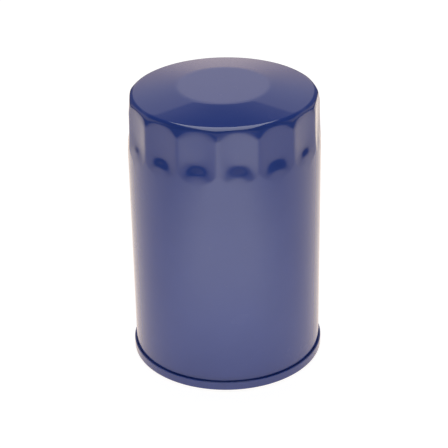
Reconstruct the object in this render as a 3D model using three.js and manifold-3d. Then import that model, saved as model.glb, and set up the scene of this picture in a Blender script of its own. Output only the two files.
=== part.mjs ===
// A spin-on oil filter, standing on its sealing gasket with the closed end up.
//
// Millimetres, +Z up. The origin is the centre of the gasket's sealing face, on the filter's axis.
// The steel can is seamed to a lid that carries the gasket and the threaded base plate. Inside are
// the anti-drainback valve, the pleated element on its centre tube, the bypass valve in the
// element's closed end, and the coil spring that holds the element down on the base plate.
// A profile is a closed list of [radius, height] points, counter-clockwise, turned about +Z.

import * as THREE from "three";
import { mergeVertices } from "three/addons/utils/BufferGeometryUtils.js";
import Module from "manifold-3d";

// ---------------------------------------------------------------- driving dimensions

const PLAY = 0.1; // gap left between sheet-metal pieces that touch
const SLIP = 0.3; // gap left between the loose inner pieces

const CAN_RADIUS = 46.5;
const CAN_WALL = 0.5;
const OVERALL_HEIGHT = 142.5;
const CORNER_RADIUS = 5.0; // rounding between the can's side and its domed end
const DOME_SLOPE = 6.7; // degrees, from the corner up to the flat disc
const DISC_RADIUS = 22.2; // flat disc in the middle of the dome

const FLUTES = 15; // hollow faces for a cap wrench
const FLUTE_DEPTH = 1.8; // at a flute's middle
const FLUTE_HOLLOW = 0.58; // how far its face curves in
const FLUTE_REACH = 21; // from the top down to where a flute starts to run out
const FLUTE_RUNOUT = 12; // length of the run-out
const FLUTE_TURN = 7.8; // degrees from -Y round to the middle of the first flute

const LID_SHEET = 0.4;
const SEAM_HEIGHT = 4.7;
const SEAM_PROUD = 1.1; // how far the seam stands out from the can
const SEAM_LIFT = 1.5; // how far the gasket holds the seam off the surface it stands on
const RIB_DEPTH = 2.6; // rib in the lid that holds the gasket from outside
const RIB_WIDTH = 3.2;
const RIB_SLANT = 1.0; // how far the rib's outer flank leans out
const LIP_DEPTH = 2.0; // lip in the lid that holds the gasket from inside

const GASKET_INSET = 10.6; // from the can's side in to the gasket
const GASKET_WIDTH = 4.6;
const GASKET_HEIGHT = 5.2;
const GASKET_EDGE = 0.5; // chamfer on the gasket's corners

const PLATE_INSET = 1.2; // from the can's inside to the base plate's edge
const PLATE_THICKNESS = 3.2;
const THREAD_MINOR = 8.67; // minor radius of a 3/4-16 internal thread
const THREAD_CHAMFER = 1.0;
const NECK_WALL = 4.5; // wall of the threaded neck
const NECK_HEIGHT = 11.6; // from the underside of the plate to the neck's end
const NECK_FILLET = 1.6;
const INLET_HOLES = 8;
const INLET_RADIUS = 3.5;

const VALVE_COLLAR = 2.2; // rubber around the neck
const VALVE_SKIRT = 1.2; // thickness of the rubber skirt
const VALVE_REACH = 5.6; // how far the skirt's lip reaches beyond the inlet holes
const VALVE_STAND = 1.2; // how far the collar stands above the neck
const BACKING_SHEET = 0.8;
const BACKING_OVERLAP = 2.1; // how far the backing washer reaches under the element

const SPRING_SPACE = 18.4; // from the element up to the dome
const OIL_CHANNEL = 5.5; // between the element and the can
const CAP_SHEET = 0.5;
const CAP_RIM = 5.4; // depth of an end cap's outer rim
const CAP_COLLAR = 4.4; // depth of an end cap's inner collar
const POTTING_DEPTH = 1.2;
const TUBE_OUTER = 19.2;
const TUBE_WALL = 0.6;
const TUBE_HOLE = 2.4; // radius of a hole in the centre tube
const TUBE_ROWS = 7;
const TUBE_HOLES_PER_ROW = 6;
const PLEATS = 48;
const PAPER = 0.6;
const PLEAT_HALF_WIDTH = 0.9;
const VALLEY_HALF_WIDTH = 0.25;
const CLIP_SHEET = 0.4;
const CLIP_REACH = 7;

const PORT_RADIUS = 8; // hole that the bypass valve covers
const SEAT_SHEET = 0.8;
const SEAT_OVERLAP = 1.7; // how far the seat reaches over the end cap
const CAGE_FLANGE = 2.1;
const CAGE_SHEET = 0.7;
const CAGE_DEPTH = 15.6;
const CAGE_WINDOWS = 4;
const CAGE_WINDOW_WIDTH = 9;
const CAGE_WINDOW_HEIGHT = 6.5;
const POPPET_OVERLAP = 3.5; // how far the poppet reaches beyond the port
const POPPET_SHEET = 0.9;
const STEM_RADIUS = 2.4;
const STEM_END = 1.0; // how far the stem stands out under the cage
const SEAL_THICKNESS = 1.0;
const SEAL_INSET = 1.3; // how far the seal shows inside the port
const BYPASS_WIRE = 1.1; // wire diameters
const BYPASS_COIL = 7.2; // radius at the middle of the wire
const BYPASS_TURNS = 4.5;
const HOLD_DOWN_WIRE = 2.2;
const HOLD_DOWN_TURNS = 3.5;
const FOOT_CLEARANCE = 2.6; // from the bypass seat out to the spring's foot
const HEAD_INSET = 5.2; // from the disc's edge in to the spring's head

const BIG_ROUND = 4 * FLUTES; // facets on the can and what is seamed to it
const MID_ROUND = 30; // facets on the element's pieces
const SMALL_ROUND = 20; // facets on the bypass valve's pieces

// ---------------------------------------------------------------- sizes that follow from those

const SEAM_OUTER = CAN_RADIUS + SEAM_PROUD;
const SEAM_TOP = SEAM_LIFT + SEAM_HEIGHT;
const CAN_INSIDE = CAN_RADIUS - CAN_WALL;
const CAN_FLANGE = SEAM_OUTER - LID_SHEET - PLAY;
const CAN_BOTTOM = SEAM_LIFT + LID_SHEET + PLAY;
const DOME_CEILING = OVERALL_HEIGHT - CAN_WALL;
const FLUTE_BOTTOM = OVERALL_HEIGHT - FLUTE_REACH - FLUTE_RUNOUT;

const GASKET_OUTER = CAN_RADIUS - GASKET_INSET;
const GASKET_INNER = GASKET_OUTER - GASKET_WIDTH;
const LIP_INNER = GASKET_INNER - PLAY - LID_SHEET;
const LID_FLOOR = GASKET_HEIGHT + PLAY; // underside of the lid above the gasket
const PLATE_BOTTOM = LID_FLOOR + LID_SHEET + PLAY;
const PLATE_TOP = PLATE_BOTTOM + PLATE_THICKNESS;
const PLATE_RADIUS = CAN_INSIDE - PLATE_INSET;
const NECK_RADIUS = THREAD_MINOR + NECK_WALL;
const NECK_TOP = PLATE_BOTTOM + NECK_HEIGHT;
const INLET_CIRCLE = (NECK_RADIUS + LIP_INNER) / 2;
const VALVE_TOP = NECK_TOP + VALVE_STAND;

const ELEMENT_BOTTOM = VALVE_TOP + PLAY + BACKING_SHEET + PLAY;
const ELEMENT_TOP = DOME_CEILING - SPRING_SPACE;
const CAP_RADIUS = CAN_INSIDE - OIL_CHANNEL;
const MEDIA_BOTTOM = ELEMENT_BOTTOM + CAP_SHEET + PLAY + POTTING_DEPTH + PLAY;
const MEDIA_TOP = ELEMENT_TOP - CAP_SHEET - PLAY - POTTING_DEPTH - PLAY;
const TUBE_INNER = TUBE_OUTER - TUBE_WALL;
const COLLAR_OUTER = TUBE_INNER - SLIP; // inner collar of an end cap, inside the centre tube
const COLLAR_INNER = COLLAR_OUTER - CAP_SHEET;
const MEDIA_INNER = TUBE_OUTER + SLIP;
const MEDIA_OUTER = CAP_RADIUS - CAP_SHEET - SLIP - CLIP_SHEET - PLAY;

const SEAT_BOTTOM = ELEMENT_TOP + PLAY;
const SEAT_RADIUS = COLLAR_INNER + SEAT_OVERLAP;
const CAGE_TOP = SEAT_BOTTOM - PLAY;
const CAGE_FLOOR = CAGE_TOP - CAGE_DEPTH;
const CAGE_OUTER = COLLAR_INNER - SLIP;
const CAGE_RADIUS = CAGE_OUTER - CAGE_FLANGE;
const POPPET_RADIUS = PORT_RADIUS + POPPET_OVERLAP;
const SEAL_TOP = SEAT_BOTTOM - PLAY;
const POPPET_TOP = SEAL_TOP - SEAL_THICKNESS - PLAY;
const POPPET_BOTTOM = POPPET_TOP - POPPET_SHEET;
const HOLD_DOWN_FOOT = SEAT_RADIUS + FOOT_CLEARANCE + HOLD_DOWN_WIRE / 2;
const HOLD_DOWN_HEAD = DISC_RADIUS - HEAD_INSET;

// ---------------------------------------------------------------- tools

const wasm = await Module();
wasm.setup();

/** Keeps only the shared positions of a geometry, without the triangles that have no area. */
function tidy(geometry) {
  geometry.deleteAttribute("normal");
  geometry.deleteAttribute("uv");
  const merged = mergeVertices(geometry, 1e-4);
  const all = merged.index.array;
  const kept = [];
  for (let i = 0; i < all.length; i += 3) {
    const [a, b, c] = [all[i], all[i + 1], all[i + 2]];
    if (a !== b && b !== c && c !== a) kept.push(a, b, c);
  }
  merged.setIndex(kept);
  return merged;
}

/** Turns a closed profile about +Z. Angle 0 is at -Y. */
function revolve(profile, facets) {
  const points = profile.map(([radius, height]) => new THREE.Vector2(radius, height));
  points.push(points[0].clone());
  const geometry = new THREE.LatheGeometry(points, facets);
  return geometry.rotateX(Math.PI / 2);
}

/** A plain ring between two radii and two heights. */
function ring(inner, outer, bottom, top, facets) {
  const profile = [[inner, bottom], [outer, bottom], [outer, top], [inner, top]];
  return tidy(revolve(profile, facets));
}

/** Points on an arc of a profile, from one angle to another in degrees, 0 pointing outwards. */
function arc(centreRadius, centreHeight, radius, from, to, steps) {
  return Array.from({ length: steps + 1 }, (_, i) => {
    const angle = THREE.MathUtils.degToRad(from + ((to - from) * i) / steps);
    return [centreRadius + radius * Math.cos(angle), centreHeight + radius * Math.sin(angle)];
  });
}

function solidOf(geometry) {
  return new wasm.Manifold(
    new wasm.Mesh({
      numProp: 3,
      vertProperties: new Float32Array(geometry.attributes.position.array),
      triVerts: new Uint32Array(geometry.index.array),
    }),
  );
}

/** Cuts each of the tools out of the body. */
function cut(body, tools) {
  const left = tools.reduce((solid, tool) => solid.subtract(solidOf(tool)), solidOf(body));
  const mesh = left.getMesh();
  const geometry = new THREE.BufferGeometry();
  geometry.setAttribute("position", new THREE.BufferAttribute(mesh.vertProperties, 3));
  geometry.setIndex(new THREE.BufferAttribute(mesh.triVerts, 1));
  return geometry;
}

/** A round bar along +Z, or along the direction that a later turn gives it. */
function bar(radius, length, facets) {
  return new THREE.CylinderGeometry(radius, radius, length, facets).rotateX(Math.PI / 2);
}

/** A coil spring whose ends lie flat. Its radius goes from foot to head as it climbs. */
class CoilCurve extends THREE.Curve {
  constructor(foot, head, bottom, top, turns) {
    super();
    Object.assign(this, { foot, head, bottom, top, turns });
  }

  getPoint(t, target = new THREE.Vector3()) {
    const flatTurns = 0.75; // of a turn, at each end
    const rise = (t * this.turns - flatTurns) / (this.turns - 2 * flatTurns);
    const climb = THREE.MathUtils.smoothstep(rise, -0.15, 1.15);
    const radius = THREE.MathUtils.lerp(this.foot, this.head, climb);
    const angle = t * this.turns * 2 * Math.PI;
    return target.set(
      radius * Math.sin(angle),
      -radius * Math.cos(angle),
      THREE.MathUtils.lerp(this.bottom, this.top, climb),
    );
  }
}

/** Round wire along a coil that stands between two faces. */
function coilSpring(wire, foot, head, bottomFace, topFace, turns) {
  const stepsPerTurn = 12;
  const section = new THREE.Shape();
  section.absarc(0, 0, wire / 2, 0, 2 * Math.PI);
  const path = new CoilCurve(foot, head, bottomFace + wire / 2, topFace - wire / 2, turns);
  const geometry = new THREE.ExtrudeGeometry(section, {
    steps: Math.round(turns * stepsPerTurn),
    curveSegments: 3, // six sides round the wire
    extrudePath: path,
  });
  return tidy(geometry);
}

// ---------------------------------------------------------------- the can

/** How deep the hollow flutes cut into a round wall of the can's radius. */
function fluteCut(angle, height) {
  const pitch = (2 * Math.PI) / FLUTES;
  const fromMiddle = angle - pitch * Math.round(angle / pitch);
  const full = THREE.MathUtils.smoothstep(height, FLUTE_BOTTOM, FLUTE_BOTTOM + FLUTE_RUNOUT);
  const place = (2 * fromMiddle) / pitch; // 0 at a flute's middle, 1 at a ridge
  const face = CAN_RADIUS - full * (FLUTE_DEPTH - FLUTE_HOLLOW * place ** 2);
  return Math.max(0, CAN_RADIUS - face / Math.cos(fromMiddle));
}

/** One side of the can's wall, from above its flange up over the dome to the axis. */
function canSide(inset) {
  const runoutSteps = 2;
  const cornerSteps = 3;
  const turn = 90 - DOME_SLOPE;
  const cornerCentre = CAN_RADIUS - CORNER_RADIUS;
  const coneStart = cornerCentre + CORNER_RADIUS * Math.cos(THREE.MathUtils.degToRad(turn));
  const coneRise = (coneStart - DISC_RADIUS) * Math.tan(THREE.MathUtils.degToRad(DOME_SLOPE));
  const cornerRise = CORNER_RADIUS * Math.sin(THREE.MathUtils.degToRad(turn));
  const cornerHeight = OVERALL_HEIGHT - coneRise - cornerRise;
  const points = [];
  for (let i = 0; i <= runoutSteps; i++)
    points.push([CAN_RADIUS - inset, FLUTE_BOTTOM + (FLUTE_RUNOUT * i) / runoutSteps]);
  points.push(
    ...arc(cornerCentre, cornerHeight, CORNER_RADIUS - inset, 0, turn, cornerSteps),
    [DISC_RADIUS, OVERALL_HEIGHT - inset],
    [0, OVERALL_HEIGHT - inset],
  );
  return points;
}

/** The drawn steel can. The flutes push its outside and its inside in by the same amount. */
function canister() {
  const flange = [
    [CAN_INSIDE, CAN_BOTTOM],
    [CAN_FLANGE, CAN_BOTTOM],
    [CAN_FLANGE, CAN_BOTTOM + CAN_WALL],
    [CAN_RADIUS, CAN_BOTTOM + CAN_WALL],
  ];
  const outside = [...flange, ...canSide(0)];
  const geometry = revolve([...outside, ...canSide(CAN_WALL).reverse()], BIG_ROUND);
  const position = geometry.attributes.position;
  const perTurn = position.count / (BIG_ROUND + 1);
  for (let i = 0; i < position.count; i++) {
    const [x, y, z] = [position.getX(i), position.getY(i), position.getZ(i)];
    const onOutside = i % perTurn < outside.length;
    const round = onOutside ? CAN_RADIUS : CAN_INSIDE;
    const limit = round - fluteCut(Math.atan2(x, -y), z);
    const radius = Math.hypot(x, y);
    if (z > FLUTE_BOTTOM && radius > limit)
      position.setXY(i, (x * limit) / radius, (y * limit) / radius);
  }
  return tidy(geometry);
}

// ---------------------------------------------------------------- the base

function seamLid() {
  const chuckOuter = CAN_INSIDE - PLAY;
  const chuckInner = chuckOuter - LID_SHEET;
  const foldTop = SEAM_LIFT + LID_SHEET;
  const panelTop = LID_FLOOR + LID_SHEET;
  const ribInner = GASKET_OUTER + PLAY;
  const ribOuter = ribInner + RIB_WIDTH;
  const ribBottom = LID_FLOOR - RIB_DEPTH;
  const lipBottom = LID_FLOOR - LIP_DEPTH;
  const lipOuter = LIP_INNER + LID_SHEET;
  const profile = [
    [SEAM_OUTER, SEAM_LIFT],
    [SEAM_OUTER, SEAM_TOP],
    [CAN_RADIUS + PLAY, SEAM_TOP],
    [CAN_RADIUS + PLAY, SEAM_TOP - LID_SHEET],
    [SEAM_OUTER - LID_SHEET, SEAM_TOP - LID_SHEET],
    [SEAM_OUTER - LID_SHEET, foldTop],
    [chuckOuter, foldTop],
    [chuckOuter, panelTop],
    [ribOuter + RIB_SLANT - LID_SHEET / 2, panelTop],
    [ribOuter - LID_SHEET, ribBottom + LID_SHEET],
    [ribInner + LID_SHEET, ribBottom + LID_SHEET],
    [ribInner + LID_SHEET, panelTop],
    [LIP_INNER, panelTop],
    [LIP_INNER, lipBottom],
    [lipOuter, lipBottom],
    [lipOuter, LID_FLOOR],
    [ribInner, LID_FLOOR],
    [ribInner, ribBottom],
    [ribOuter, ribBottom],
    [ribOuter + RIB_SLANT, LID_FLOOR],
    [chuckInner, LID_FLOOR],
    [chuckInner, SEAM_LIFT],
  ];
  return tidy(revolve(profile, BIG_ROUND));
}

/** The bead of sealing compound that fills the seam between the can and the lid. */
function seamSealant() {
  const bottom = CAN_BOTTOM + CAN_WALL + PLAY;
  const top = SEAM_TOP - LID_SHEET - PLAY;
  return ring(CAN_RADIUS + PLAY, CAN_FLANGE, bottom, top, BIG_ROUND);
}

function gasket() {
  const edge = GASKET_EDGE;
  const profile = [
    [GASKET_INNER + edge, 0],
    [GASKET_OUTER - edge, 0],
    [GASKET_OUTER, edge],
    [GASKET_OUTER, GASKET_HEIGHT - edge],
    [GASKET_OUTER - edge, GASKET_HEIGHT],
    [GASKET_INNER + edge, GASKET_HEIGHT],
    [GASKET_INNER, GASKET_HEIGHT - edge],
    [GASKET_INNER, edge],
  ];
  return tidy(revolve(profile, BIG_ROUND));
}

function basePlate() {
  const profile = [
    [THREAD_MINOR + THREAD_CHAMFER, PLATE_BOTTOM],
    [PLATE_RADIUS, PLATE_BOTTOM],
    [PLATE_RADIUS, PLATE_TOP],
    [NECK_RADIUS + NECK_FILLET, PLATE_TOP],
    [NECK_RADIUS, PLATE_TOP + NECK_FILLET],
    [NECK_RADIUS, NECK_TOP],
    [THREAD_MINOR + THREAD_CHAMFER, NECK_TOP],
    [THREAD_MINOR, NECK_TOP - THREAD_CHAMFER],
    [THREAD_MINOR, PLATE_BOTTOM + THREAD_CHAMFER],
  ];
  const holeFacets = 12;
  const holes = Array.from({ length: INLET_HOLES }, (_, i) => {
    const angle = (2 * Math.PI * i) / INLET_HOLES;
    const hole = bar(INLET_RADIUS, 3 * PLATE_THICKNESS, holeFacets);
    hole.translate(
      INLET_CIRCLE * Math.sin(angle),
      -INLET_CIRCLE * Math.cos(angle),
      (PLATE_BOTTOM + PLATE_TOP) / 2,
    );
    return tidy(hole);
  });
  return cut(tidy(revolve(profile, BIG_ROUND)), holes);
}

/** Rubber collar round the neck, with a skirt that lies on the plate outside the inlet holes. */
function antiDrainbackValve() {
  const inner = NECK_RADIUS + PLAY;
  const outer = inner + VALVE_COLLAR;
  const lip = INLET_CIRCLE + INLET_RADIUS + VALVE_REACH;
  const lipBottom = PLATE_TOP + PLAY;
  const skirtTop = VALVE_TOP - VALVE_STAND;
  const collarBottom = PLATE_TOP + NECK_FILLET + SLIP;
  const profile = [
    [inner, collarBottom],
    [outer, collarBottom],
    [outer, skirtTop - 1.6 * VALVE_SKIRT],
    [lip - 2 * VALVE_SKIRT, lipBottom + 0.4 * VALVE_SKIRT],
    [lip - VALVE_SKIRT, lipBottom],
    [lip, lipBottom],
    [lip, lipBottom + VALVE_SKIRT],
    [outer + VALVE_SKIRT, skirtTop],
    [outer, VALVE_TOP],
    [inner, VALVE_TOP],
  ];
  return tidy(revolve(profile, MID_ROUND));
}

function valveBacking() {
  const outer = COLLAR_INNER + BACKING_OVERLAP;
  const bottom = VALVE_TOP + PLAY;
  return ring(NECK_RADIUS + SLIP, outer, bottom, bottom + BACKING_SHEET, MID_ROUND);
}

// ---------------------------------------------------------------- the element

/** A pressed end cap: a flat ring with an outer rim and an inner collar, both turned inwards. */
function endCap(face, inwards) {
  const at = (depth) => face + inwards * depth;
  const profile = [
    [COLLAR_INNER, at(0)],
    [CAP_RADIUS, at(0)],
    [CAP_RADIUS, at(CAP_RIM)],
    [CAP_RADIUS - CAP_SHEET, at(CAP_RIM)],
    [CAP_RADIUS - CAP_SHEET, at(CAP_SHEET)],
    [COLLAR_OUTER, at(CAP_SHEET)],
    [COLLAR_OUTER, at(CAP_COLLAR)],
    [COLLAR_INNER, at(CAP_COLLAR)],
  ];
  return tidy(revolve(inwards > 0 ? profile : profile.reverse(), MID_ROUND));
}

/** The adhesive that bonds the pleats and the centre tube to an end cap. */
function potting(bottom) {
  const outer = CAP_RADIUS - CAP_SHEET - PLAY;
  return ring(COLLAR_OUTER + PLAY, outer, bottom, bottom + POTTING_DEPTH, MID_ROUND);
}

function centreTube() {
  const tube = ring(TUBE_INNER, TUBE_OUTER, MEDIA_BOTTOM, MEDIA_TOP, MID_ROUND);
  const rowPitch = (MEDIA_TOP - MEDIA_BOTTOM) / (TUBE_ROWS + 1);
  const holeFacets = 6;
  const holes = [];
  for (let row = 1; row <= TUBE_ROWS; row++) {
    for (let place = 0; place < TUBE_HOLES_PER_ROW; place++) {
      const stagger = (row % 2) / 2;
      const hole = bar(TUBE_HOLE, 4 * TUBE_WALL, holeFacets).rotateX(Math.PI / 2);
      hole.translate(0, -(TUBE_INNER + TUBE_OUTER) / 2, MEDIA_BOTTOM + row * rowPitch);
      hole.rotateZ((2 * Math.PI * (place + stagger)) / TUBE_HOLES_PER_ROW);
      holes.push(tidy(hole));
    }
  }
  return cut(tube, holes);
}

/** One side of the folded paper: straight flanks between blunt outer and inner folds. */
function pleatOutline(foldRadius, foldHalfWidth, valleyRadius, valleyHalfWidth) {
  const points = [];
  const pitch = (2 * Math.PI) / PLEATS;
  for (let i = 0; i < PLEATS; i++) {
    const middle = i * pitch;
    const fold = foldHalfWidth / foldRadius;
    const valley = valleyHalfWidth / valleyRadius;
    const corners = [
      [foldRadius, middle - fold],
      [foldRadius, middle + fold],
      [valleyRadius, middle + pitch / 2 - valley],
      [valleyRadius, middle + pitch / 2 + valley],
    ];
    for (const [radius, angle] of corners)
      points.push(new THREE.Vector2(radius * Math.sin(angle), -radius * Math.cos(angle)));
  }
  return points;
}

function pleatedMedia() {
  const shape = new THREE.Shape(
    pleatOutline(MEDIA_OUTER, PLEAT_HALF_WIDTH, MEDIA_INNER + PAPER, VALLEY_HALF_WIDTH),
  );
  const inside = pleatOutline(
    MEDIA_OUTER - PAPER,
    PLEAT_HALF_WIDTH - PAPER,
    MEDIA_INNER,
    VALLEY_HALF_WIDTH + PAPER,
  );
  shape.holes.push(new THREE.Path(inside));
  const geometry = new THREE.ExtrudeGeometry(shape, {
    depth: MEDIA_TOP - MEDIA_BOTTOM,
    bevelEnabled: false,
  });
  geometry.translate(0, 0, MEDIA_BOTTOM);
  return tidy(geometry);
}

/** The folded steel strip that clamps the two ends of the paper together, over one pleat. */
function mediaClip() {
  const valley = MEDIA_INNER + PAPER;
  const footHalf = (Math.PI / PLEATS) * valley - VALLEY_HALF_WIDTH;
  const share = CLIP_REACH / (MEDIA_OUTER - valley);
  const reachHalf = THREE.MathUtils.lerp(PLEAT_HALF_WIDTH, footHalf, share);
  const half = Math.max(PLEAT_HALF_WIDTH, reachHalf) + PLAY;
  const outside = half + CLIP_SHEET;
  const front = MEDIA_OUTER + PLAY;
  const back = MEDIA_OUTER - CLIP_REACH;
  const outline = [
    [-outside, back],
    [-half, back],
    [-half, front],
    [half, front],
    [half, back],
    [outside, back],
    [outside, front + CLIP_SHEET],
    [-outside, front + CLIP_SHEET],
  ];
  const shape = new THREE.Shape(outline.map(([x, y]) => new THREE.Vector2(x, y)));
  const bottom = MEDIA_BOTTOM + PLAY;
  const geometry = new THREE.ExtrudeGeometry(shape, {
    depth: MEDIA_TOP - PLAY - bottom,
    bevelEnabled: false,
  });
  geometry.translate(0, 0, bottom);
  return tidy(geometry);
}

// ---------------------------------------------------------------- the bypass valve

/** The plate with the port, resting on the element's closed end. */
function bypassSeat() {
  return ring(PORT_RADIUS, SEAT_RADIUS, SEAT_BOTTOM, SEAT_BOTTOM + SEAT_SHEET, MID_ROUND);
}

/** The cup under the seat: a flange, a round wall with windows, and a floor that guides the stem. */
function bypassCage() {
  const inner = CAGE_RADIUS - CAGE_SHEET;
  const stemHole = STEM_RADIUS + SLIP;
  const profile = [
    [stemHole, CAGE_FLOOR],
    [CAGE_RADIUS, CAGE_FLOOR],
    [CAGE_RADIUS, CAGE_TOP - CAGE_SHEET],
    [CAGE_OUTER, CAGE_TOP - CAGE_SHEET],
    [CAGE_OUTER, CAGE_TOP],
    [inner, CAGE_TOP],
    [inner, CAGE_FLOOR + CAGE_SHEET],
    [stemHole, CAGE_FLOOR + CAGE_SHEET],
  ];
  const windowMiddle = CAGE_FLOOR + 2 * CAGE_SHEET + CAGE_WINDOW_HEIGHT / 2;
  const windows = Array.from({ length: CAGE_WINDOWS }, (_, i) => {
    const tool = new THREE.BoxGeometry(CAGE_WINDOW_WIDTH, CAGE_RADIUS, CAGE_WINDOW_HEIGHT);
    tool.translate(0, -CAGE_RADIUS, windowMiddle);
    tool.rotateZ((2 * Math.PI * (i + 0.5)) / CAGE_WINDOWS);
    return tidy(tool);
  });
  return cut(tidy(revolve(profile, SMALL_ROUND)), windows);
}

/** The disc that closes the port, on the stem that slides in the cage's floor. */
function bypassPoppet() {
  const stemEnd = CAGE_FLOOR - STEM_END;
  const profile = [
    [0, stemEnd],
    [STEM_RADIUS, stemEnd],
    [STEM_RADIUS, POPPET_BOTTOM],
    [POPPET_RADIUS, POPPET_BOTTOM],
    [POPPET_RADIUS, POPPET_TOP],
    [0, POPPET_TOP],
  ];
  return tidy(revolve(profile, SMALL_ROUND));
}

/** The rubber ring on the poppet that meets the seat. */
function bypassSeal() {
  const bottom = SEAL_TOP - SEAL_THICKNESS;
  return ring(PORT_RADIUS - SEAL_INSET, POPPET_RADIUS, bottom, SEAL_TOP, SMALL_ROUND);
}

function bypassSpring() {
  const floor = CAGE_FLOOR + CAGE_SHEET + SLIP;
  const ceiling = POPPET_BOTTOM - SLIP;
  return coilSpring(BYPASS_WIRE, BYPASS_COIL, BYPASS_COIL, floor, ceiling, BYPASS_TURNS);
}

/** The conical spring between the element and the dome. */
function holdDownSpring() {
  const floor = ELEMENT_TOP + SLIP;
  const ceiling = DOME_CEILING - SLIP;
  return coilSpring(
    HOLD_DOWN_WIRE, HOLD_DOWN_FOOT, HOLD_DOWN_HEAD, floor, ceiling, HOLD_DOWN_TURNS,
  );
}

// ---------------------------------------------------------------- materials and assembly

const finish = (color, roughness, metalness) =>
  new THREE.MeshStandardMaterial({ color, roughness, metalness });

const bluePaint = finish(0x232f72, 0.25, 0.1);
const zincSteel = finish(0x9fa3a6, 0.4, 0.9);
const tinnedSteel = finish(0xb4b6b8, 0.3, 0.95);
const springSteel = finish(0x55585c, 0.35, 0.9);
const nitrile = finish(0x161617, 0.65, 0);
const silicone = finish(0xb4481f, 0.55, 0);
const plastisol = finish(0x8d2f24, 0.5, 0);
const compound = finish(0x6d6f63, 0.7, 0);
const paper = finish(0xd8c48e, 0.9, 0);

const filter = new THREE.Group();
filter.rotation.z = THREE.MathUtils.degToRad(FLUTE_TURN);

function add(name, geometry, material) {
  const mesh = new THREE.Mesh(geometry, material);
  mesh.name = name;
  filter.add(mesh);
}

add("canister", canister(), bluePaint);
add("seam_lid", seamLid(), bluePaint);
add("seam_sealant", seamSealant(), compound);
add("gasket", gasket(), nitrile);
add("base_plate", basePlate(), zincSteel);
add("anti_drainback_valve", antiDrainbackValve(), silicone);
add("valve_backing_washer", valveBacking(), zincSteel);

add("lower_end_cap", endCap(ELEMENT_BOTTOM, 1), tinnedSteel);
add("lower_potting", potting(ELEMENT_BOTTOM + CAP_SHEET + PLAY), plastisol);
add("centre_tube", centreTube(), tinnedSteel);
add("pleated_media", pleatedMedia(), paper);
add("media_clip", mediaClip(), tinnedSteel);
add("upper_potting", potting(MEDIA_TOP + PLAY), plastisol);
add("upper_end_cap", endCap(ELEMENT_TOP, -1), tinnedSteel);

add("bypass_seat", bypassSeat(), zincSteel);
add("bypass_cage", bypassCage(), zincSteel);
add("bypass_poppet", bypassPoppet(), tinnedSteel);
add("bypass_seal", bypassSeal(), nitrile);
add("bypass_spring", bypassSpring(), springSteel);
add("hold_down_spring", holdDownSpring(), springSteel);

export default filter;
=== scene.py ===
"""The looks of a spin-on oil filter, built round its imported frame.

Everything is in metres, +Z up, with the origin at the centre of the gasket's sealing face. An angle round the
axis is measured from -Y towards +X. A profile is a list of (radius, height) points, turned about the axis.
Sizes that fit the frame are read from it; the rest are the fields of each piece's class.
"""

import logging
import math
from dataclasses import dataclass
from enum import Enum

import bmesh
import bpy
import numpy as np
from mathutils import Matrix, Vector


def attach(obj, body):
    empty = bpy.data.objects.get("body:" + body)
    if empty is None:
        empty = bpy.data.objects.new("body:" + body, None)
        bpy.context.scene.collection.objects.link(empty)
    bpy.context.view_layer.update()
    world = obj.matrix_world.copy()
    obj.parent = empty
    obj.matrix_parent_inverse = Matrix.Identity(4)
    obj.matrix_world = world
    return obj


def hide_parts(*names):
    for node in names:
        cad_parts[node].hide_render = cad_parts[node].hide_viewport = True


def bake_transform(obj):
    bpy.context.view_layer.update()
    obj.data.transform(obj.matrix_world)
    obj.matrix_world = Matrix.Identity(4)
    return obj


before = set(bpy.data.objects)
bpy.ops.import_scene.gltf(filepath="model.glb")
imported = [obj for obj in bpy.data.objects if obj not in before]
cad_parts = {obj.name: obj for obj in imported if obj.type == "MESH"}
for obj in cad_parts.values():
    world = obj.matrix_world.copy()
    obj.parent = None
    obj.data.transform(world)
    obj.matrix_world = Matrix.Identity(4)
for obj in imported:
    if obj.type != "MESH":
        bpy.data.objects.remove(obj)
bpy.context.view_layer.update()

log = logging.getLogger("oil_filter")

MM = 0.001
TURN = 2 * math.pi
FIRST_FLUTE = math.radians(7.8)  # round from -Y to the middle of the can's first flute


class Body(Enum):
    """The frame's bodies."""

    HOUSING = "housing"
    ELEMENT = "element"
    BYPASS = "bypass_valve"


# ---------------------------------------------------------------- shapes


@dataclass(frozen=True)
class Span:
    """How far a CAD node reaches: its radii from the axis, and its heights."""

    inner: float
    outer: float
    bottom: float
    top: float

    @classmethod
    def of(cls, node: str) -> "Span":
        """Measures a node of the frame.

        Args:
            node: The CAD node's name.

        Returns:
            The least and greatest radius and height of its corners.
        """
        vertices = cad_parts[node].data.vertices
        points = np.empty(3 * len(vertices))
        vertices.foreach_get("co", points)
        x, y, z = points.reshape(-1, 3).T
        radii = np.hypot(x, y)
        return cls(radii.min(), radii.max(), z.min(), z.max())


def around(radius: np.ndarray, angle: np.ndarray, height: np.ndarray) -> np.ndarray:
    """Cylindrical to Cartesian: (radius sin angle, -radius cos angle, height).

    Args:
        radius: Distances from the axis.
        angle: Angles round from -Y, in radians.
        height: Heights.

    Returns:
        Points, with the three coordinates on the last axis.
    """
    radius, angle, height = np.broadcast_arrays(radius, angle, height)
    return np.stack([radius * np.sin(angle), -radius * np.cos(angle), height], -1)


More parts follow.
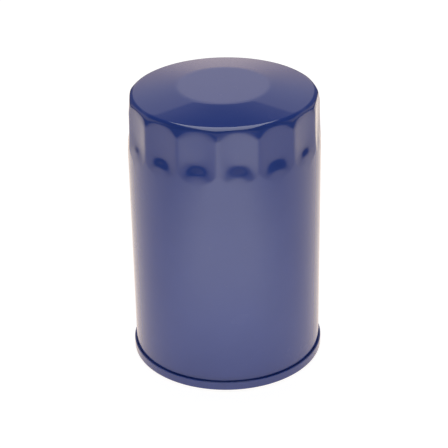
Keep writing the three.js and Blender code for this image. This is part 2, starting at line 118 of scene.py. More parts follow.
def rounded(
    corners: list[tuple[float, float]], cut: float | list[float], steps: int = 5, closed: bool = True
) -> np.ndarray:
    """Rounds the corners of a profile.

    Each corner becomes a parabola between points the cut's length back along its two sides, or 0.42 of a side
    where that is shorter: point = (1-t)^2 before + 2t(1-t) corner + t^2 after. A support point stands 0.15
    of the cut further back on either side, so that the flats shade flat.

    Args:
        corners: The profile's corners, in order.
        cut: How far from a corner its rounding starts, for all of them or for each.
        steps: Segments in each rounding.
        closed: Whether the last corner joins the first. If not, the two ends stay as they are.

    Returns:
        The points of the rounded profile.
    """
    corner = np.array(corners, float)
    before = np.roll(corner, 1, axis=0) - corner
    after = np.roll(corner, -1, axis=0) - corner
    length_before = np.linalg.norm(before, axis=1, keepdims=True)
    length_after = np.linalg.norm(after, axis=1, keepdims=True)
    cut = np.broadcast_to(cut, len(corner))[:, None]
    start = before / length_before * np.minimum(cut, 0.42 * length_before)
    end = after / length_after * np.minimum(cut, 0.42 * length_after)
    t = np.linspace(0, 1, steps + 1)[None, :, None]
    bend = corner[:, None] + (1 - t) ** 2 * start[:, None] + t**2 * end[:, None]
    support = 1.15
    points = np.concatenate(
        [(corner + support * start)[:, None], bend, (corner + support * end)[:, None]], axis=1
    )
    if closed:
        return points.reshape(-1, 2)
    return np.concatenate([corner[:1], points[1:-1].reshape(-1, 2), corner[-1:]])


def pressed(shape: list[tuple[float, float, float]], steps: int = 5, closed: bool = True) -> np.ndarray:
    """A rounded profile from its corners' (radius, height, cut), the cuts in millimetres."""
    return rounded([corner[:2] for corner in shape], [cut * MM for *_, cut in shape], steps, closed)


def arc(centre: tuple[float, float], radius: float, start: float, end: float, steps: int) -> np.ndarray:
    """Points on a circle in a profile, between two angles in degrees from outwards towards up."""
    angle = np.radians(np.linspace(start, end, steps + 1))
    return np.stack([centre[0] + radius * np.cos(angle), centre[1] + radius * np.sin(angle)], -1)


def divided(profile: np.ndarray, longest: float) -> np.ndarray:
    """Splits the long sides of a closed profile into equal steps.

    Args:
        profile: (radius, height) points.
        longest: The greatest length of a step.

    Returns:
        The profile with the points between.
    """
    after = np.roll(profile, -1, axis=0)
    steps = np.ceil(np.linalg.norm(after - profile, axis=1) / longest).astype(int).clip(1)
    side = np.repeat(np.arange(len(profile)), steps)
    first = np.repeat(np.cumsum(steps) - steps, steps)
    share = ((np.arange(len(side)) - first) / steps[side])[:, None]
    return profile[side] * (1 - share) + after[side] * share


def smoothstep(value: np.ndarray, low: float, high: float) -> np.ndarray:
    """3t^2 - 2t^3 of the value's share of the way from low to high, held between 0 and 1."""
    t = np.clip((value - low) / (high - low), 0, 1)
    return t * t * (3 - 2 * t)


def soft_min(a: np.ndarray, b: np.ndarray, blend: float) -> np.ndarray:
    """The smaller of two surfaces, with the crease between them rounded off by the blend."""
    return (a + b) / 2 - np.sqrt(((a - b) / 2) ** 2 + blend**2)


class Surface:
    """A mesh put together from grids of points that meet edge to edge."""

    def __init__(self) -> None:
        """Starts with no grids."""
        self.points: list[np.ndarray] = []
        self.faces: list[np.ndarray] = []
        self.count = 0

    def add(self, grid: np.ndarray, close_rows: bool = False, close_columns: bool = False) -> None:
        """Adds a grid, with one four-sided face between each four neighbours.

        Args:
            grid: Points in rows and columns, with x, y and z on the last axis.
            close_rows: Whether the last row joins the first.
            close_columns: Whether the last column joins the first.
        """
        rows, columns = grid.shape[:2]
        i = np.arange(rows if close_rows else rows - 1)[:, None]
        j = np.arange(columns if close_columns else columns - 1)[None, :]
        i2, j2 = (i + 1) % rows, (j + 1) % columns
        corners = [i * columns + j, i * columns + j2, i2 * columns + j2, i2 * columns + j]
        self.faces.append(np.stack(corners, -1).reshape(-1, 4) + self.count)
        self.points.append(grid.reshape(-1, 3))
        self.count += rows * columns

    def build(self, name: str) -> bpy.types.Object:
        """Makes the mesh, joins what meets, and turns its faces outwards.

        Args:
            name: The new object's name.

        Returns:
            The object, at the origin, with smooth shading.
        """
        points = np.concatenate(self.points)
        faces = np.concatenate(self.faces)
        mesh = bpy.data.meshes.new(name)
        mesh.from_pydata(points.tolist(), [], faces.tolist())
        work = bmesh.new()
        work.from_mesh(mesh)
        bmesh.ops.remove_doubles(work, verts=work.verts, dist=1e-6)
        bmesh.ops.dissolve_degenerate(work, edges=work.edges, dist=1e-8)
        bmesh.ops.recalc_face_normals(work, faces=work.faces)
        work.to_mesh(mesh)
        work.free()
        mesh.polygons.foreach_set("use_smooth", np.ones(len(mesh.polygons), bool))
        mesh.update()
        made = bpy.data.objects.new(name, mesh)
        bpy.context.scene.collection.objects.link(made)
        return made


def lathe_grid(profile: np.ndarray, facets: int, first: float = 0.0) -> np.ndarray:
    """A profile turned about the axis: rows are the profile's points and columns are angles.

    Args:
        profile: (radius, height) points.
        facets: Steps in a full turn.
        first: The first column's angle.

    Returns:
        A grid whose columns close on themselves.
    """
    angle = first + np.arange(facets) * TURN / facets
    return around(profile[:, :1], angle[None, :], profile[:, 1:])


def turned(name: str, profile: np.ndarray, facets: int = 144, closed: bool = True) -> bpy.types.Object:
    """A turned piece.

    Args:
        name: The new object's name.
        profile: A closed profile, or an open one that starts and ends on the axis.
        facets: Steps in a full turn.
        closed: Whether the profile joins up.

    Returns:
        The object.
    """
    surface = Surface()
    surface.add(lathe_grid(profile, facets), close_rows=closed, close_columns=True)
    return surface.build(name)


def swept(
    name: str, path: np.ndarray, side: np.ndarray, rise: np.ndarray, section: np.ndarray
) -> bpy.types.Object:
    """A closed section carried along a path: point = path + section x * side + section y * rise.

    The two ends are closed by shrinking a last copy of the section to the path.

    Args:
        name: The new object's name.
        path: Points along the middle.
        side: The direction of the section's x at each of them.
        rise: The direction of its y.
        section: The section's corners.

    Returns:
        The object.
    """
    grid = (
        path[:, None]
        + section[None, :, :1] * side[:, None]
        + section[None, :, 1:] * rise[:, None]
    )
    start = np.repeat(path[:1, None], len(section), axis=1)
    end = np.repeat(path[-1:, None], len(section), axis=1)
    surface = Surface()
    surface.add(np.concatenate([start, grid, end]), close_columns=True)
    return surface.build(name)


def square_walk(samples: int) -> np.ndarray:
    """Walks once round the square from (-1, -1) to (1, 1), in even steps, starting at (1, 0).

    Args:
        samples: The number of steps, a multiple of 8.

    Returns:
        The points.
    """
    place = np.arange(samples) * 8 / samples
    x = np.clip(np.abs(place % 8 - 4) - 2, -1, 1)
    y = np.clip(np.abs((place - 2) % 8 - 4) - 2, -1, 1)
    return np.stack([x, y], -1)


def hole_walk(samples: int, squareness: float = 2) -> np.ndarray:
    """That walk brought in to a hole: each point over (|x|^n + |y|^n)^(1/n), a circle for n = 2."""
    square = square_walk(samples)
    return square / (np.abs(square) ** squareness).sum(-1, keepdims=True) ** (1 / squareness)


@dataclass(frozen=True)
class Window:
    """A patch of a tube's wall with a hole in its middle.

    The patch is worked out in angle and height. Its first parameter goes from the patch's edge in to the hole
    on the outside, through the wall and back out on the inside: each is edge * (1 - share) + hole * share.
    """

    outer: float
    inner: float
    half_angle: float
    half_height: float
    wide: float  # half of the hole's width, as an angle
    tall: float  # and of its height
    shares: tuple[float, ...]
    samples: int
    squareness: float = 2

    def grid(self, middle: float, level: float) -> np.ndarray:
        """Works out one patch.

        Args:
            middle: The angle at the middle of the hole.
            level: The height there.

        Returns:
            A grid whose columns close on themselves.
        """
        edge, hole = square_walk(self.samples), hole_walk(self.samples, self.squareness)
        share = np.array(self.shares + self.shares[::-1])[:, None]
        radius = np.repeat([self.outer, self.inner], len(self.shares))[:, None]
        angle = middle + edge[:, 0] * self.half_angle * (1 - share) + hole[:, 0] * self.wide * share
        height = level + edge[:, 1] * self.half_height * (1 - share) + hole[:, 1] * self.tall * share
        return around(radius, angle, height)


# ---------------------------------------------------------------- shader graphs


@dataclass(frozen=True)
class Value:
    """A number that a shader works out. Sums and products of values add Math nodes."""

    graph: "Graph"
    socket: bpy.types.NodeSocket

    def _math(self, operation: str, first: "Value | float", second: "Value | float") -> "Value":
        """Adds a Math node."""
        return self.graph.node("ShaderNodeMath", {"operation": operation}, {0: first, 1: second})

    def __add__(self, other: "Value | float") -> "Value":
        """This value plus another."""
        return self._math("ADD", self, other)

    __radd__ = __add__

    def __sub__(self, other: "Value | float") -> "Value":
        """This value less another."""
        return self._math("SUBTRACT", self, other)

    def __rsub__(self, other: "Value | float") -> "Value":
        """Another value less this one."""
        return self._math("SUBTRACT", other, self)

    def __mul__(self, other: "Value | float") -> "Value":
        """This value times another."""
        return self._math("MULTIPLY", self, other)

    __rmul__ = __mul__


Colour = tuple[float, float, float]
Stretch = tuple[float, float, float]


class Graph:
    """The nodes of one material or of the world."""

    def __init__(self, tree: bpy.types.NodeTree) -> None:
        """Takes over a node tree and empties it."""
        self.tree = tree
        tree.nodes.clear()

    def node(
        self, kind: str, settings: dict | None = None, inputs: dict | None = None, output: int | str = 0
    ) -> Value | None:
        """Adds a node.

        Args:
            kind: The node's type.
            settings: Its properties, set first.
            inputs: A value, number or colour for each socket, by its name or place.
            output: The name or place of the output that is wanted.

        Returns:
            That output, or None where the node has no outputs.
        """
        node = self.tree.nodes.new(kind)
        for key, setting in (settings or {}).items():
            setattr(node, key, setting)
        for key, value in (inputs or {}).items():
            socket = node.inputs[key]
            if isinstance(value, Value):
                self.tree.links.new(value.socket, socket)
            elif isinstance(value, tuple) and socket.type == "RGBA":
                socket.default_value = (*value, 1)
            else:
                socket.default_value = value
        return Value(self, node.outputs[output]) if node.outputs else None

    def mix(self, share: Value, first: Value | Colour, second: Value | Colour) -> Value:
        """One colour turning into another as the share goes from 0 to 1."""
        settings = {"data_type": "RGBA", "clamp_factor": True}
        return self.node("ShaderNodeMix", settings, {0: share, 6: first, 7: second}, 2)

    def ramp(self, value: Value, low: float, high: float) -> Value:
        """0 below low, 1 above high, smooth between."""
        settings = {"interpolation_type": "SMOOTHSTEP"}
        return self.node("ShaderNodeMapRange", settings, {0: value, 1: low, 2: high})

    def axis(self, name: str, vector: Value | None = None) -> Value:
        """One coordinate, X, Y or Z, of a vector, or else of the place on the piece."""
        inputs = {0: vector or self.place()}
        return self.node("ShaderNodeSeparateXYZ", inputs=inputs, output=name)

    def absolute(self, value: Value) -> Value:
        """A value without its sign."""
        return self.node("ShaderNodeMath", {"operation": "ABSOLUTE"}, {0: value})

    def length(self, vector: Value) -> Value:
        """A vector's length."""
        return self.node("ShaderNodeVectorMath", {"operation": "LENGTH"}, {0: vector}, "Value")

    def place(self, stretch: Stretch = (1, 1, 1)) -> Value:
        """Object coordinates in metres, stretched along the axes."""
        here = self.node("ShaderNodeTexCoord", output="Object")
        return self.node("ShaderNodeMapping", inputs={"Vector": here, "Scale": stretch})

    def noise(self, scale: float, detail: float = 2, stretch: Stretch = (1, 1, 1)) -> Value:
        """Soft noise from 0 to 1 in the piece's own space, scale times a metre."""
        inputs = {"Vector": self.place(stretch), "Scale": scale, "Detail": detail}
        return self.node("ShaderNodeTexNoise", inputs=inputs)

    def specks(self, scale: float, size: float) -> Value:
        """Round specks, 1 in the middle of each.

        Args:
            scale: How many there are along a metre.
            size: The radius of each, as a share of the distance between them.

        Returns:
            The specks.
        """
        inputs = {"Vector": self.place(), "Scale": scale}
        far = self.node("ShaderNodeTexVoronoi", inputs=inputs)
        return 1 - self.ramp(far, 0.4 * size, size)

    def bump(self, height: Value, depth: float, strength: float = 1.0) -> Value:
        """A normal for a relief of that depth in metres."""
        inputs = {"Height": height, "Distance": depth, "Strength": strength}
        return self.node("ShaderNodeBump", inputs=inputs)

    def end(self, shader: Value, kind: str = "ShaderNodeOutputMaterial") -> None:
        """Links a shader to the surface that is seen."""
        self.node(kind, inputs={"Surface": shader})


def shade(graph: Graph, inputs: dict) -> None:
    """Ends a material's graph with one surface shader that has these inputs."""
    graph.end(graph.node("ShaderNodeBsdfPrincipled", inputs=inputs))


def new_material(name: str) -> tuple[bpy.types.Material, Graph]:
    """Makes a material without nodes.

    Args:
        name: Its name.

    Returns:
        The material and its graph.
    """
    material = bpy.data.materials.new(name)
    material.use_nodes = True
    return material, Graph(material.node_tree)


# ---------------------------------------------------------------- finishes


@dataclass(frozen=True)
class Enamel:
    """Glossy baked enamel: two blues in soft clouds, fine dust, and a clear flowed-out surface."""

    name: str = "blue_enamel"
    deep: Colour = (0.027, 0.060, 0.295)
    light: Colour = (0.036, 0.074, 0.345)
    dusty: Colour = (0.25, 0.27, 0.36)
    roughness: float = 0.24
    bare: Colour = (0.50, 0.50, 0.51)  # the steel where there is no enamel
    bare_roughness: float = 0.36
    bare_within: float | None = None  # radius inside which there is none
    bare_under: float = 5.8 * MM  # and the height up to which that holds

    def material(self) -> bpy.types.Material:
        """Builds the finish.

        Returns:
            The material.
        """
        material, graph = new_material(self.name)
        clouds = graph.noise(38, detail=3)
        colour = graph.mix(clouds, self.deep, self.light)
        dust = graph.specks(700, 0.16) * graph.ramp(graph.noise(120), 0.56, 0.72)
        colour = graph.mix(dust * 0.12, colour, self.dusty)
        rough = self.roughness + 0.05 * clouds + 0.25 * dust
        flow = graph.noise(340, detail=2) + 0.35 * graph.noise(1500, detail=1)
        normal = graph.bump(flow, 0.035 * MM, 0.5)
        coat, metal = 1.0, 0.0
        if self.bare_within is not None:
            edge = graph.length(graph.place((1, 1, 0))) + 0.5 * MM * graph.noise(500)
            outside = graph.ramp(edge, self.bare_within, self.bare_within + 0.3 * MM)
            above = graph.ramp(graph.axis("Z"), self.bare_under, self.bare_under + 0.1 * MM)
            paint = outside + above - outside * above
            colour = graph.mix(paint, self.bare, colour)
            rough = self.bare_roughness * (1 - paint) + rough * paint
            metal = 1 - paint
            coat = paint
        shade(graph, {
            "Base Color": colour, "Roughness": rough, "Metallic": metal, "Normal": normal,
            "Specular IOR Level": 0.03, "Coat Weight": coat, "Coat Roughness": 0.03, "Coat IOR": 1.55,
        })
        return material


@dataclass(frozen=True)
class Metal:
    """Plated or tinned sheet steel: grain along one way, cloudy plating, faint stains and scuffs."""

    name: str
    colour: Colour
    stain: Colour
    roughness: float
    grain: Stretch = (1, 1, 1)

    def material(self) -> bpy.types.Material:
        """Builds the finish.

        Returns:
            The material.
        """
        material, graph = new_material(self.name)
        clouds = graph.ramp(graph.noise(90, detail=4), 0.35, 0.7)
        grain = graph.noise(1800, detail=2, stretch=self.grain)
        colour = graph.mix(clouds * 0.55, self.colour, self.stain)
        colour = graph.mix(grain * 0.25, colour, self.stain)
        rough = self.roughness + 0.16 * clouds + 0.12 * grain - 0.1
        relief = grain + 0.4 * graph.noise(260)
        shade(graph, {
            "Base Color": colour, "Roughness": rough, "Metallic": 1.0,
            "Normal": graph.bump(relief, 0.03 * MM, 0.4),
        })
        return material


@dataclass(frozen=True)
class Rubber:
    """Moulded rubber: a fine stipple, bloom in soft patches and specks of dust."""

    name: str
    colour: Colour
    bloom: Colour
    roughness: float

    def material(self) -> bpy.types.Material:
        """Builds the finish.

        Returns:
            The material.
        """
        material, graph = new_material(self.name)
        patches = graph.ramp(graph.noise(130, detail=3), 0.45, 0.75)
        dust = graph.specks(1300, 0.2)
        colour = graph.mix(patches * 0.5, self.colour, self.bloom)
        colour = graph.mix(dust * 0.35, colour, self.bloom)
        rough = self.roughness + 0.18 * patches
        relief = graph.noise(2600, detail=2) + 0.5 * graph.noise(500)
        shade(graph, {
            "Base Color": colour, "Roughness": rough,
            "Normal": graph.bump(relief, 0.05 * MM, 0.5),
        })
        return material


@dataclass(frozen=True)
class Paper:
    """Resin-treated filter paper: matted fibres, uneven tone and dimples that keep the folds apart."""

    name: str = "filter_paper"
    colour: Colour = (0.64, 0.47, 0.22)
    pale: Colour = (0.78, 0.64, 0.38)

    def material(self) -> bpy.types.Material:
        """Builds the finish.

        Returns:
            The material.
        """
        material, graph = new_material(self.name)
        fibres = graph.noise(2400, detail=5, stretch=(1, 1, 0.4))
        tone = graph.noise(70, detail=2)
        colour = graph.mix(tone * 0.6 + fibres * 0.4, self.colour, self.pale)
        dimples = graph.specks(260, 0.35)
        relief = fibres * 0.4 + dimples
        shade(graph, {
            "Base Color": colour, "Roughness": 0.82 + 0.12 * fibres,
            "Normal": graph.bump(relief, 0.12 * MM, 0.6),
        })
        return material


@dataclass(frozen=True)
class Resin:
    """Cured adhesive: glossy where it flowed, with small bubbles."""

    name: str
    colour: Colour
    dark: Colour
    roughness: float

    def material(self) -> bpy.types.Material:
        """Builds the finish.

        Returns:
            The material.
        """
        material, graph = new_material(self.name)
        bubbles = graph.specks(700, 0.3)
        colour = graph.mix(graph.noise(120, detail=3), self.dark, self.colour)
        colour = graph.mix(bubbles * 0.4, colour, self.dark)
        relief = graph.noise(300) - 0.6 * bubbles
        shade(graph, {
            "Base Color": colour, "Roughness": self.roughness + 0.2 * bubbles,
            "Normal": graph.bump(relief, 0.2 * MM, 0.5),
        })
        return material


ZINC = Metal("zinc_plated_steel", (0.62, 0.63, 0.62), (0.40, 0.41, 0.41), 0.36)
TIN = Metal("tinplate", (0.60, 0.61, 0.62), (0.42, 0.43, 0.44), 0.38, grain=(1, 1, 0.05))
SPRING_STEEL = Metal("drawn_spring_wire", (0.20, 0.205, 0.22), (0.10, 0.095, 0.09), 0.34)
NITRILE = Rubber("nitrile_rubber", (0.012, 0.012, 0.013), (0.05, 0.05, 0.052), 0.42)
SILICONE = Rubber("silicone_rubber", (0.52, 0.11, 0.025), (0.62, 0.24, 0.12), 0.45)
PLASTISOL = Resin("plastisol_bond", (0.36, 0.04, 0.03), (0.20, 0.02, 0.018), 0.35)
COMPOUND = Resin("seam_compound", (0.24, 0.24, 0.21), (0.12, 0.12, 0.10), 0.6)


Finish = Enamel | Metal | Rubber | Paper | Resin


class Dresser:
    """Gives each finished piece its material and its body, and hides the CAD node that it stands for."""

    def __init__(self) -> None:
        """Starts with no materials made."""
        self.made: dict[Finish, bpy.types.Material] = {}

    def dress(
        self, piece: bpy.types.Object, node: str, finish: Finish, body: Body | None = None
    ) -> bpy.types.Object:
        """Finishes a piece.

        Args:
            piece: The new object.
            node: The CAD node that it stands for, which is hidden.
            finish: Its finish.
            body: The body that it rides on, or None for a piece that sits between two bodies, on neither.

        Returns:
            The piece.
        """
        if finish not in self.made:
            self.made[finish] = finish.material()
        piece.data.materials.append(self.made[finish])
        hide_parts(node)
        if body is not None:
            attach(piece, body.value)
        log.info("%s stands for %s, %d faces", piece.name, node, len(piece.data.polygons))
        return piece


@dataclass(frozen=True)
class Ring:
    """A plain ring of rectangular section with rounded edges, as large as its CAD node."""

    name: str
    node: str
    finish: Finish
    body: Body
    edge: float  # how far from a corner its rounding starts
    steps: int = 5
    facets: int = 144

    def build(self, dresser: Dresser) -> None:
        """Makes and dresses the ring.

        Args:
            dresser: What dresses it.
        """
        span = Span.of(self.node)
        levels = [span.bottom, span.bottom, span.top, span.top]
        corners = list(zip([span.inner, span.outer, span.outer, span.inner], levels))
        piece = turned(self.name, rounded(corners, self.edge, self.steps), self.facets)
        dresser.dress(piece, self.node, self.finish, self.body)


# ---------------------------------------------------------------- the can


@dataclass
class Can:
    """The drawn steel can: a straight side, 15 flutes for a cap wrench, a rounded corner and a shallow dome.

    The dome's slope eases from the corner to the flat disc in its middle, so its height is a parabola.
    """

    wall: float = 0.5 * MM
    corner: float = 4.9 * MM  # radius of the rounding between the side and the dome
    slope_out: float = 9.6  # degrees, of the dome at the corner
    slope_in: float = 7.2  # degrees, of the dome at the disc
    disc: float = 22.2 * MM  # radius of the flat disc on top
    disc_blend: float = 1.3 * MM
    flutes: int = 15
    depth: float = 1.8 * MM  # of a flute at its middle
    hollow: float = 0.50 * MM  # how far a flute's face curves in
    ridge: float = 0.38 * MM  # rounding of the ridge between two flutes
    crown: float = 0.95 * MM  # by how much more the ridges are rounded at the corner
    crown_edge: float = 0.28 * MM  # and the flutes' upper ends
    crown_lift: float = 0.14  # and how much shallower the flutes are there
    crown_ends: tuple[float, float] = (9.8 * MM, 3.4 * MM)  # below the top, where that starts and is full
    edge: float = 0.08 * MM  # rounding where a flute meets the round side and the corner
    step: float = 23.7 * MM  # below the top, where the flutes end
    step_length: float = 2.5 * MM
    step_arch: float = 3.5 * MM  # how much lower the step lies at a ridge
    step_spread: float = 3.5  # and how much longer it is there
    tail: float = 28.5 * MM  # below the top, where the last of a flute fades out
    tail_length: float = 3.6 * MM
    tail_share: float = 0.2
    play: float = 0.1 * MM  # between the side and the bead in the seam
    foot_edge: float = 0.25 * MM
    side_rows: int = 75
    corner_rows: int = 30
    dome_rows: int = 24
    disc_rows: int = 8
    columns_per_flute: int = 24
    crowding: float = 0.5  # how much closer the columns stand at a ridge

    def share(self, place: np.ndarray, below: np.ndarray) -> np.ndarray:
        """How fully the flutes cut: a steep tanh step, arched over each flute, and a gentle one below it.

        Args:
            place: 0 at a flute's middle and 1 at its ridge.
            below: Distances below the top.

        Returns:
            1 above the step, 0 under the tail.
        """
        length = self.step_length * (1 + self.step_spread * place**2)
        steep = 0.5 - 0.5 * np.tanh((below - self.step - self.step_arch * place**2) / length)
        gentle = 0.5 - 0.5 * np.tanh((below - self.tail) / self.tail_length)
        return (1 - self.tail_share) * steep + self.tail_share * gentle

    def flute_radius(self, angle: np.ndarray, below: np.ndarray, radius: float) -> np.ndarray:
        """The radius at which the flutes cut.

        A flute is a plane whose distance from the axis is the radius less depth * share, bulged by hollow *
        share * place^2, so its radius is that distance / cos(angle from its middle). The share is less by
        crown_lift at the corner. The flute and its nearest neighbour meet in a soft minimum.

        Args:
            angle: Angles from the middle of the first flute.
            below: Distances below the top.
            radius: The wall's radius.

        Returns:
            Radii.
        """
        pitch = TURN / self.flutes
        off = np.abs(angle - pitch * np.round(angle / pitch))
        place, beyond = 2 * off / pitch, 2 - 2 * off / pitch
        crown = smoothstep(below, *self.crown_ends)
        share = self.share(place, below) * (1 - self.crown_lift * crown)
        own = (radius - share * (self.depth - self.hollow * place**2)) / np.cos(off)
        other = (radius - share * (self.depth - self.hollow * beyond**2)) / np.cos(pitch - off)
        return soft_min(own, other, self.ridge * share + self.crown * crown)

    def side(self, radius: float, top: float, inset: float) -> np.ndarray:
        """The wall's profile from low on the side, up round the corner, over the cone to the axis.

        Args:
            radius: The can's outer radius.
            top: The height of the disc.
            inset: 0 for the outside, the wall for the inside.

        Returns:
            The profile's points.
        """
        turn = math.radians(90 - self.slope_out)
        centre_radius = radius - self.corner
        length = centre_radius + self.corner * math.cos(turn) - self.disc
        steep, gentle = math.tan(math.radians(self.slope_out)), math.tan(math.radians(self.slope_in))
        centre_height = top - length * (steep + gentle) / 2 - self.corner * math.sin(turn)
        fine = 1 if inset == 0 else 3  # the inside is coarser
        low = top - self.tail - 3 * self.tail_length
        heights = np.linspace(low, centre_height, self.side_rows // fine, endpoint=False)
        wall = np.stack([np.full_like(heights, radius - inset), heights], -1)
        centre = (centre_radius, centre_height)
        rows = self.corner_rows // fine
        corner = arc(centre, self.corner - inset, 0, 90 - self.slope_out, rows)
        t = np.linspace(0, 1, self.dome_rows)[1:]
        reach = self.disc + inset * steep
        dome_radius = corner[-1, 0] + (reach - corner[-1, 0]) * t
        dome_height = corner[-1, 1] + length * (steep * t - (steep - gentle) * t**2 / 2)
        blend = self.disc_blend
        dome = np.stack([dome_radius, dome_height], -1)[dome_radius > self.disc + blend]
        start, disc = dome[-1], np.array([self.disc, top - inset])
        t = np.linspace(0, 1, self.disc_rows + 1)[1:, None]
        edge = (1 - t) ** 2 * start + 2 * t * (1 - t) * disc + t**2 * (disc - [blend, 0])
        across = np.linspace(self.disc - blend, 0, self.disc_rows + 1)[1:]
        flat = np.stack([across, np.full_like(across, top - inset)], -1)
        return np.concatenate([wall, corner, dome, edge, flat])

    def shell(self) -> bpy.types.Object:
        """Makes the can: its profile turned about the axis, each radius held within the flutes'.

        Returns:
            The object.
        """
        can, lid = Span.of("canister"), Span.of("seam_lid")
        radius = Span.of("seam_sealant").inner - self.play
        top, bottom, flange = can.top, can.bottom, can.outer
        outside = self.side(radius, top, 0)
        inside = self.side(radius, top, self.wall)
        foot = rounded(
            [(radius - self.wall, outside[0, 1]), (radius - self.wall, bottom), (flange, bottom),
             (flange, bottom + self.wall), (radius, bottom + self.wall), (radius, outside[0, 1])],
            self.foot_edge, steps=4, closed=False,
        )
        belt = np.linspace(lid.top + 2 * MM, outside[0, 1], 10)[:-1]
        straight = np.stack([np.full_like(belt, radius), belt], -1)
        profile = np.concatenate([inside[::-1], foot[1:-1], straight, outside])
        count = self.columns_per_flute
        t = np.arange(count) / count
        within = t - self.crowding / TURN * np.sin(TURN * t) - 0.5
        angle = ((np.arange(self.flutes)[:, None] + within[None, :]) * TURN / self.flutes).ravel()
        r, z = profile[:, :1], profile[:, 1:]
        is_inside = (np.arange(len(profile)) < len(inside))[:, None]
        limit = self.flute_radius(angle, top - z, radius) - np.where(is_inside, self.wall, 0)
        edge = self.edge * self.share(0.5, top - z)
        edge += self.crown_edge * smoothstep(top - z, *self.crown_ends)
        held = np.maximum(soft_min(r, limit, edge), 0)
        shaped = np.where(z >= belt[0], held, r)
        surface = Surface()
        surface.add(around(shaped, angle + FIRST_FLUTE, z), close_columns=True)
        return surface.build("fluted_can")

    def build(self, dresser: Dresser) -> None:
        """Makes the can and dresses it with the dresser."""
        dresser.dress(self.shell(), "canister", Enamel(), Body.HOUSING)


# ---------------------------------------------------------------- the base


@dataclass
class RolledLid:
    """The sheet-steel lid: its edge rolled over the can's flange, a rib and a lip that hold the gasket."""

    sheet: float = 0.4 * MM
    can_sheet: float = 0.5 * MM
    play: float = 0.1 * MM
    rib_depth: float = 2.6 * MM
    rib_width: float = 3.2 * MM
    rib_slant: float = 1.0 * MM
    lip_depth: float = 2.0 * MM
    welds: int = 8
    weld_radius: float = 1.7 * MM
    weld_depth: float = 0.14 * MM
    bare_within: float = 46.9 * MM  # radius inside which it isn't painted
    longest: float = 0.6 * MM  # step along the profile
    facets: int = 288

    def pan(self) -> bpy.types.Object:
        """Makes the lid, with a round dent (a Gaussian of the distance) at each spot weld.

        Returns:
            The object.
        """
        lid, gasket, bead = Span.of("seam_lid"), Span.of("gasket"), Span.of("seam_sealant")
        sheet = self.sheet
        throat = bead.inner
        chuck = bead.inner - self.play - self.can_sheet - self.play
        floor = gasket.top + self.play
        panel = floor + sheet
        rib_in = gasket.outer + self.play
        rib_out = rib_in + self.rib_width
        rib_low = floor - self.rib_depth
        lip_low = floor - self.lip_depth
        lip_out = lid.inner + sheet
        shape = [
            (lid.outer, lid.bottom, 1.0), (lid.outer, lid.top, 0.8), (throat, lid.top, 0.4),
            (throat, lid.top - sheet, 0.1), (lid.outer - sheet, lid.top - sheet, 0.2),
            (lid.outer - sheet, lid.bottom + sheet, 0.6), (chuck, lid.bottom + sheet, 0.2),
            (chuck, panel, 0.5), (rib_out + self.rib_slant - sheet / 2, panel, 0.6),
            (rib_out - sheet, rib_low + sheet, 0.6), (rib_in + sheet, rib_low + sheet, 0.3),
            (rib_in + sheet, panel, 0.3), (lid.inner, panel, 0.4), (lid.inner, lip_low, 0.15),
            (lip_out, lip_low, 0.15), (lip_out, floor, 0.15), (rib_in, floor, 0.15),
            (rib_in, rib_low, 0.35), (rib_out, rib_low, 0.9), (rib_out + self.rib_slant, floor, 0.7),
            (chuck - sheet, floor, 0.7), (chuck - sheet, lid.bottom, 0.5),
        ]
        grid = lathe_grid(divided(pressed(shape, steps=6), self.longest), self.facets)
        middle = (rib_out + self.rib_slant + chuck - sheet) / 2
        place = FIRST_FLUTE + (np.arange(self.welds) + 0.5) * TURN / self.welds
        spots = around(np.float64(middle), place, np.float64(0))[:, :2]
        flat = np.abs(grid[..., 2] - floor) < sheet * 0.3
        for spot in spots:
            far = np.linalg.norm(grid[..., :2] - spot, axis=-1) / self.weld_radius
            grid[..., 2] += np.where(flat, self.weld_depth * np.exp(-(far**4)), 0)
        surface = Surface()
        surface.add(grid, close_rows=True, close_columns=True)
        return surface.build("rolled_lid")

    def build(self, dresser: Dresser) -> None:
        """Makes the lid and dresses it: enamelled as far as the spray reached, and bare inside that."""
        finish = Enamel("seam_enamel", bare_within=self.bare_within)
        dresser.dress(self.pan(), "seam_lid", finish, Body.HOUSING)


